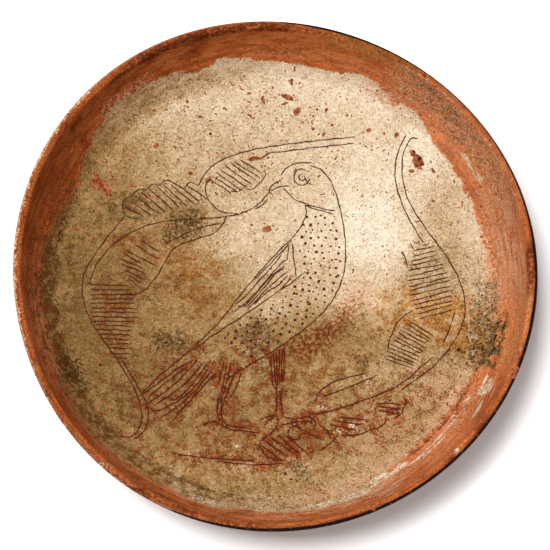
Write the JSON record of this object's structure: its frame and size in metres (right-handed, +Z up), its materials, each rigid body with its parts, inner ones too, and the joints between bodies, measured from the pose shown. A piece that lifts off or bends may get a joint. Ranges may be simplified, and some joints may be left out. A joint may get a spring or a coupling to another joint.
{
  "type": "sgraffito dish",
  "caption": "Shallow round earthenware dish on a foot ring, slipped inside, with a bird among leafy tendrils cut through the slip.",
  "frame": {"origin": "middle of the foot ring on the surface that the dish stands on", "axes": "+Z up out of the dish, +Y towards the bird's head, +X to the right as the bird is looked at, so the bird faces -X"},
  "size_m": [0.2674, 0.2669, 0.061],
  "materials": {
    "slipped_earthenware": "cream slip over red clay, worn, faintly glossy inside and matt outside"
  },
  "bodies": {
    "root": {"sgraffito_dish": "slipped_earthenware"}
  },
  "joints": []
}
